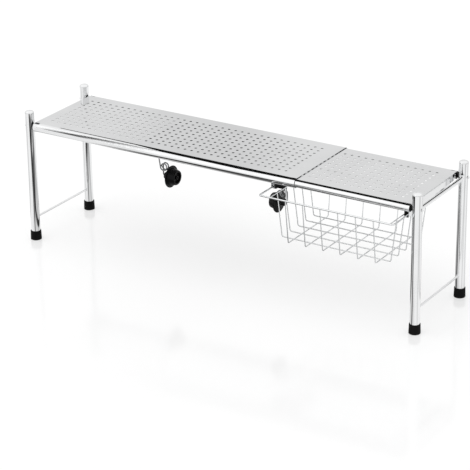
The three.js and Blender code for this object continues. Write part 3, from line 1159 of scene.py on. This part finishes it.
@dataclass
class BasketSlides(BasketPart):
    """Folded channels under the shelf and the black guides in them."""

    wall: float = 1.0
    half: float = 85.0
    lip_left: float = 9.5
    lip_right: float = 6.0
    shelf_lip: float = 10.0
    play: float = 0.8
    top: float = 261.2
    fold: float = 1.6
    fold_steps: int = 6
    guide_length: float = 18.0
    guide_height: float = 9.5
    guide_edge: float = 1.4

    def build(self) -> None:
        """Makes both channels and both guides."""
        for side, rim, rail, lip in (
            (Side.LEFT, self.rim_left, self.rail_left, self.lip_left),
            (Side.RIGHT, self.rim_right, self.rail_right, self.lip_right),
        ):
            channel, guide = self.channel(side, rim, lip), self.guide(side, rim, rail)
            self.place(f"basket_channel_{side.word}", channel, SHEET, SHEET_EDGE, wall=self.wall)
            self.place(f"basket_guide_{side.word}", guide, PLASTIC, soften=self.guide_edge)

    @property
    def lip_top(self) -> float:
        """Height of the lips on which the rim's side wires lie."""
        return self.rim_height - self.rim_radius - TOUCH

    def channel(self, side: Side, rim: float, lip: float) -> Shape:
        """Makes the outer side of a channel, from its lip round to its shelf flange.

        Args:
            side: Which channel it is.
            rim: X of the side wire that it carries.
            lip: Width of its lip.

        Returns:
            An open shape whose faces look away from the basket.
        """
        way, low = side.value, self.lip_top - self.wall
        web = rim + way * (self.rim_radius + self.play)
        outside = web + way * self.wall
        plan = [(web - way * lip, low), (outside, low), (outside, self.top)]
        plan.append((web - way * self.shelf_lip, self.top))
        line = bent([(x, 0.0, z) for x, z in plan], self.fold, self.fold_steps)
        made = Shape()
        for a, b in zip(line, line[1:]):
            quad = [(p.x, y * self.half, p.z) for p, y in ((a, -1), (b, -1), (b, 1), (a, 1))]
            made.polygon(quad if side is Side.RIGHT else quad[::-1])
        return made

    def guide(self, side: Side, rim: float, rail: float) -> Shape:
        """Makes a guide block between the rim's side wire and the rail beside it.

        Args:
            side: Which guide it is.
            rim: X of the side wire.
            rail: X of the rail.

        Returns:
            The block.
        """
        way, low = side.value, self.lip_top + TOUCH
        ends = rim - way * (self.rim_radius + TOUCH), rail + way * (self.wire_radius + TOUCH)
        (x0, x1), (y0, y1) = sorted(ends), (-self.half, self.guide_length - self.half)
        plan = [(x0, y0), (x1, y0), (x1, y1), (x0, y1)]
        return Shape().loft([[(x, y, z) for x, y in plan] for z in (low, low + self.guide_height)])


# Roll holder


@dataclass
class RollHolder(SubAssembly):
    """Two wire arms with spring coils, and the black hubs that enter a roll's core."""

    left_x: float = -151.0
    right_x: float = 130.0
    coil_front: float = -48.6
    moving_front: float = -41.9
    coil_height: float = 204.0
    coil_radius: float = 7.0
    coil_pitch: float = 3.6
    coil_steps: int = 32
    wire: float = 1.4
    leg_top: float = 261.2
    leg_lean: float = 9.0
    foot_radius: float = 5.0
    foot_depth: float = 1.2
    axle_height: float = 183.0
    axle_reach: float = 32.0
    drop_bend: float = 3.0
    flange_radius: float = 23.0
    flange: float = 3.0
    nose_radius: float = 18.0
    nose_tip: float = 15.0
    nose: float = 14.0
    boss_radius: float = 7.0
    boss: float = 13.0
    clearance: float = 0.4

    def build(self) -> None:
        """Makes the leg, the arms and the hubs."""
        left, right = Side
        turn_end = self.coil_front + self.coil_pitch
        self.place("holder_leg_left", self.foot(left).tube(self.leg_line(left), self.wire), SPRING)
        arm = Shape().tube(self.arm_line(left, self.moving_front), self.wire)
        self.place("holder_arm_left", arm, SPRING)
        line = self.leg_line(right) + self.arm_line(right, turn_end)[1:]
        self.place("holder_arm_right", self.foot(right).tube(line, self.wire), SPRING)
        for side, start in ((left, self.moving_front), (right, turn_end)):
            x = self.coil_x(side) + side.value * (self.coil_radius - self.wire - self.drop_bend)
            axle = (x, start + self.coil_pitch, self.axle_height)
            hub = Shape().turned(self.hub, axle, Axis.X, -side.value, 56)
            self.place(f"roll_hub_{side.word}", hub, PLASTIC)

    def coil_x(self, side: Side) -> float:
        """X of a coil's axis."""
        return self.left_x if side is Side.LEFT else self.right_x

    def foot_place(self, side: Side, z: float) -> Point:
        """Point of a height on the axis of a leg's foot."""
        out = side.value * (self.coil_radius + self.leg_lean)
        return (self.coil_x(side) + out, self.coil_front, z)

    def coil(self, side: Side, first: float) -> list[Vector]:
        """Winds one turn of a coil, from its outer side over its bottom.

        Args:
            side: Which coil it is.
            first: Y where the turn starts.

        Returns:
            Places along the turn.
        """
        centre, way = (self.coil_x(side), first, self.coil_height), side.value * math.pi
        shares = [i / self.coil_steps for i in range(self.coil_steps + 1)]
        turns = [(way * (2 * share + 0.5), self.coil_pitch * share) for share in shares]
        return [Vector(Axis.Y.point(centre, self.coil_radius, *turn)) for turn in turns]

    def leg_line(self, side: Side) -> list[Vector]:
        """Line of a leg, from its foot through the first turn of its coil."""
        foot = self.foot_place(side, self.leg_top - self.foot_depth / 2)
        return [Vector(foot), *self.coil(side, self.coil_front)]

    def arm_line(self, side: Side, first: float) -> list[Vector]:
        """Draws an arm's line from its turn of the coil down and in along the axle.

        Args:
            side: Which arm it is.
            first: Y where its turn starts.

        Returns:
            Places along the line.
        """
        turn = self.coil(side, first)
        x, y, z = turn[-1]
        end = (x - side.value * self.axle_reach, y, self.axle_height)
        return turn + bent([(x, y, z), (x, y, self.axle_height), end], self.drop_bend)[1:]

    def foot(self, side: Side) -> Shape:
        """Makes the small round foot under the panel.

        Args:
            side: Which leg it belongs to.

        Returns:
            The foot.
        """
        wide, deep = self.foot_radius, self.foot_depth
        profile = [
            (0.0, 0.0), (wide - 0.2, 0.0), (wide, -0.2), (wide, 0.3 - deep), (wide - 0.4, -deep),
            (2.4, -deep - 0.1), (1.9, -deep - 0.5), (1.5, -deep - 1.2), (0.0, -deep - 1.2),
        ]
        return Shape().turned(profile, self.foot_place(side, self.leg_top), sides=32)

    @property
    def hub(self) -> list[Pair]:
        """Profile of a hub, from its boss to its nose."""
        bore, boss, back = self.wire + self.clearance, self.boss_radius, self.boss
        wide, nose, end = self.flange_radius, self.nose_radius, self.nose_tip
        front = back + self.flange
        tip = front + self.nose
        return [
            (bore, 0.4), (bore + 0.4, 0.0), (boss - 0.9, 0.0), (boss - 0.25, 0.25), (boss, 0.9),
            (boss, back - 1.2), (boss + 0.35, back - 0.35), (boss + 1.2, back),
            (wide - 1.3, back), (wide - 0.4, back + 0.35), (wide, back + 1.2), (wide, front - 0.8),
            (wide - 0.3, front - 0.2), (wide - 0.9, front), (nose + 0.5, front),
            (nose, front + 0.5), (end + 0.5, tip - 1.6), (end - 0.1, tip - 0.5), (end - 1.3, tip),
            (end - 3.2, tip), (end - 3.6, tip - 0.4), (end - 3.8, tip - 5.0),
            (bore + 2.2, tip - 5.0), (bore + 2.0, tip - 0.5), (bore + 1.6, tip),
            (bore + 0.3, tip), (bore, tip - 0.3), (bore, 0.4),
        ]


# Studio


@dataclass
class Studio:
    """Floor, light and camera.

    A streak has a post's X and Y, its turn from the camera's side and its half width in degrees,
    and its depth. A flag has its height and the X and Y of its corners.
    """

    floor_reach: float = 9.0
    floor_sink: float = 0.0001
    sky: float = 0.78
    sun_strength: float = 0.8
    sun_width: float = 70.0
    sun_turn: Point = (18.0, -14.0, 0.0)
    azimuth: float = 32.409
    elevation: float = 23.217
    roll: float = -0.835
    focal_pixels: float = 2038.0
    image_pixels: float = 470.0
    sensor: float = 36.0
    across: float = 11.26
    above: float = -63.94
    distance: float = 4173.72
    streaks: tuple[tuple[float, ...], ...] = (
        (-450.0, -96.0, -9.0, 10.0, 0.92), (-450.0, -96.0, 75.0, 12.0, 0.35),
        (-450.0, 96.0, -2.0, 9.0, 0.92), (-450.0, 96.0, 62.0, 9.0, 0.4),
        (-450.0, 96.0, -80.0, 12.0, 0.35), (450.0, -96.0, -74.0, 15.0, 0.85),
        (450.0, -96.0, 45.0, 16.0, 0.2), (450.0, 96.0, -89.0, 17.0, 0.85),
        (450.0, 96.0, 35.0, 14.0, 0.22), (450.0, 96.0, 100.0, 14.0, 0.3),
    )
    flag_tone: float = 0.03
    roll_flag: tuple[float, tuple[Pair, ...]] = (270.0, (
        (-378.0, -92.4), (-190.0, -95.3), (-120.0, -104.3), (60.0, -107.4), (180.0, -103.4),
        (432.0, -104.5), (432.0, -82.0), (180.0, -82.0), (170.0, -85.0), (-378.0, -85.0),
    ))
    bar_flag: tuple[float, tuple[Pair, ...]] = (260.5, (
        (447.6, -77.0), (455.5, -77.0), (455.5, 94.0), (447.6, 94.0),
    ))

    def build(self) -> None:
        """Makes the whole studio."""
        bpy.context.scene.view_settings.view_transform = "Standard"
        self.world()
        self.lamp()
        self.floor()
        self.flags()
        self.camera()

    def world(self) -> None:
        """Makes the surroundings: white for the camera, a plain studio in reflections."""
        world = bpy.data.worlds.new("studio")
        bpy.context.scene.world = world
        world.use_nodes = True
        world.cycles.sampling_method = "NONE"
        world.node_tree.nodes.clear()
        board = NodeBoard(world.node_tree)
        way = board.add("TexCoord").outputs["Generated"]
        x, y, z = board.add("SeparateXYZ", {0: way}).outputs
        skew = board.math("SUBTRACT", board.times(y, 0.045), 0.533)
        slant = board.math("ABSOLUTE", board.math("SUBTRACT", x, skew))
        low = board.times(board.ramp(y, -0.12, -0.2), board.ramp(z, 0.0, 0.08))
        border = board.times(board.ramp(slant, 0.014, 0.007), low)
        sides = board.times(board.ramp(x, -0.66, -0.62), board.ramp(x, -0.3, -0.36))
        box = board.times(sides, board.ramp(y, 0.35, 0.1))
        behind = board.times(board.less(box), board.ramp(z, 0.62, 0.5))
        cloud = board.ramp(board.noise(way, 9.0), 0.3, 0.7, 0.88, 1.1)
        middle = board.times(board.ramp(x, -0.55, -0.525, 0.0, 0.09), board.ramp(x, -0.475, -0.5))
        depth = board.math("ADD", board.ramp(x, -0.6, -0.54, 0.14, 0.2), middle)
        tone = board.times(board.less(behind, board.times(depth, cloud)), board.less(border, 0.96))
        lit = board.math("ADD", board.times(box, board.ramp(y, 0.1, -0.3, 0.0, 0.2)), 1.0)
        colour = board.mix(tone, grey(0.0), grey(1.0))
        seen = board.add("Background", {"Color": colour, "Strength": lit})
        soft = board.add("Background", {"Color": grey(self.sky)})
        plain = board.add("Background", {"Color": grey(1.0)})
        rays = board.add("LightPath").outputs
        mirrored = board.blend(rays["Is Glossy Ray"], soft, seen)
        direct = board.math("MAXIMUM", rays["Is Camera Ray"], rays["Is Transmission Ray"])
        board.add("OutputWorld", {0: board.blend(direct, mirrored, plain).outputs[0]})

    def lamp(self) -> None:
        """Adds one broad soft lamp from above and the front left."""
        lamp = bpy.data.lights.new("soft_light", "SUN")
        lamp.energy = self.sun_strength
        lamp.angle = math.radians(self.sun_width)
        obj = linked("soft_light", lamp)
        obj.rotation_euler = [math.radians(a) for a in self.sun_turn]
        obj.visible_glossy = False

    def lay(self, name: str, corners: list[Point], material: bpy.types.Material) -> Object:
        """Makes a flat stage object.

        Args:
            name: Its name.
            corners: Its corners, in metres.
            material: Its material.

        Returns:
            The object, linked to the scene.
        """
        mesh = bpy.data.meshes.new(name)
        mesh.from_pydata(corners, [], [tuple(range(len(corners)))])
        mesh.materials.append(material)
        obj = linked(name, mesh)
        return obj

    def floor(self) -> None:
        """Makes the white floor, with the faint gloss that mirrors the feet."""
        reach, z = self.floor_reach, -self.floor_sink
        corners = [(-reach, -reach, z), (reach, -reach, z), (reach, reach, z), (-reach, reach, z)]
        self.lay("floor", corners, self.floor_material())

    def flags(self) -> None:
        """Hangs thin dark strips over the front roll and the right bar, which only they mirror."""
        inputs = {"Base Color": grey(self.flag_tone), "Roughness": 1.0, "Specular IOR Level": 0.0}
        board = Surface("dark_flag", inputs)
        for name, (z, shape) in (("roll_flag", self.roll_flag), ("bar_flag", self.bar_flag)):
            corners = [(x * MM, (y + STAND_OFFSET) * MM, z * MM) for x, y in shape]
            obj = self.lay(name, corners, board.material)
            obj.visible_camera = obj.visible_shadow = False
            obj.visible_diffuse = obj.visible_transmission = False

    def floor_material(self) -> bpy.types.Material:
        """Makes the floor's material.

        The camera sees a white floor with the shelf's shadow. Chrome mirrors a floor with painted
        shade, greyer under the shelf, and with the dark streaks that give a tube its lines.

        Returns:
            The material.
        """
        board = Surface("white_floor", {"Base Color": grey(0.45), "Roughness": 0.12, "IOR": 1.7})
        rays = board.add("LightPath").outputs
        lift = board.add("Emission", {"Strength": board.times(rays["Is Camera Ray"], 0.52)})
        direct = board.add("AddShader", {0: board.shader.outputs[0], 1: lift.outputs[0]})
        mirrored = board.add("Emission", {"Color": self.mirrored_tone(board)})
        joined = board.blend(rays["Is Glossy Ray"], direct, mirrored)
        board.feed(board.tree.nodes["Material Output"].inputs[0], joined.outputs[0])
        return board.material

    def mirrored_tone(self, board: NodeBoard) -> Socket:
        """Tones the floor as chrome mirrors it, with painted shade under the shelf.

        Args:
            board: Where its nodes go.

        Returns:
            The colour's socket.
        """
        place = board.add("TexCoord").outputs["Object"]
        x, y, _ = board.add("SeparateXYZ", {0: place}).outputs
        x, y = board.math("ABSOLUTE", x), board.math("ABSOLUTE", board.math("ADD", y, 0.06))
        # painted shade: the floor as chrome mirrors it is greyer under the shelf
        under = board.times(board.ramp(x, 0.5, 0.4), board.ramp(y, 0.3, 0.14))
        tone = board.math("SUBTRACT", 0.95, board.times(under, 0.26))
        for post_x, post_y, turn, half, depth in self.streaks:
            toward = math.radians(self.azimuth + turn)
            aim = (math.sin(toward), -math.cos(toward), 0.0)
            post = (post_x * MM, (post_y + STAND_OFFSET) * MM, 0.0)
            apart = board.vector("SUBTRACT", place, post)
            straight = board.vector("NORMALIZE", apart)
            facing = board.vector("DOT_PRODUCT", straight, aim, output="Value")
            streak = board.ramp(facing, *(math.cos(math.radians(a)) for a in (half, half / 2)))
            near = board.ramp(board.vector("LENGTH", apart, output="Value"), 1.0, 0.8)
            tone = board.times(tone, board.less(board.times(streak, near), depth))
        return board.mix(tone, grey(0.0), grey(1.0))

    def camera(self) -> None:
        """Places the camera at the photograph's angle."""
        lens = bpy.data.cameras.new("camera")
        lens.sensor_fit = "HORIZONTAL"
        lens.sensor_width = self.sensor
        lens.lens = self.focal_pixels / self.image_pixels * self.sensor
        lens.clip_start = 0.05
        lens.clip_end = 50.0
        obj = linked("camera", lens)
        turns = ((self.azimuth, "Z"), (90.0 - self.elevation, "X"), (self.roll, "Z"))
        aim = Matrix.Translation((0.0, STAND_OFFSET * MM, 0.0))
        for angle, axis in turns:
            aim @= Matrix.Rotation(math.radians(angle), 4, axis)
        back = Vector((-self.across, -self.above, self.distance)) * MM
        obj.matrix_world = aim @ Matrix.Translation(back)
        bpy.context.scene.camera = obj


def main() -> None:
    """Builds every sub-assembly round the frame."""
    logging.basicConfig(level=logging.INFO, format="%(name)s %(message)s")
    kept = {*frame["nodes"].values(), *frame["bodies"].values()}
    for obj in [o for o in bpy.data.objects if o not in kept]:
        bpy.data.objects.remove(obj)
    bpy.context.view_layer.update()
    main_half, sliding_half = {"side": Side.LEFT}, {"side": Side.RIGHT}
    sliding_holes = {"inset": 30.0, "hole_drop": 0.85, "free_field": (31.0, 270.0)}
    for part in (
        EndFrame(roll_inner=8.95, **main_half),
        EndFrame(roll_inner=7.25, **sliding_half),
        RolledPanel(node="main_panel", radius=9.75, inset=26.0, hole_drop=1.35, **main_half),
        RolledPanel(node="sliding_panel", radius=8.05, **sliding_holes, **sliding_half),
        WireBasket(),
        BasketSlides(),
        RollHolder(),
        Studio(),
    ):
        part.build()


if __name__ == "__main__":
    main()
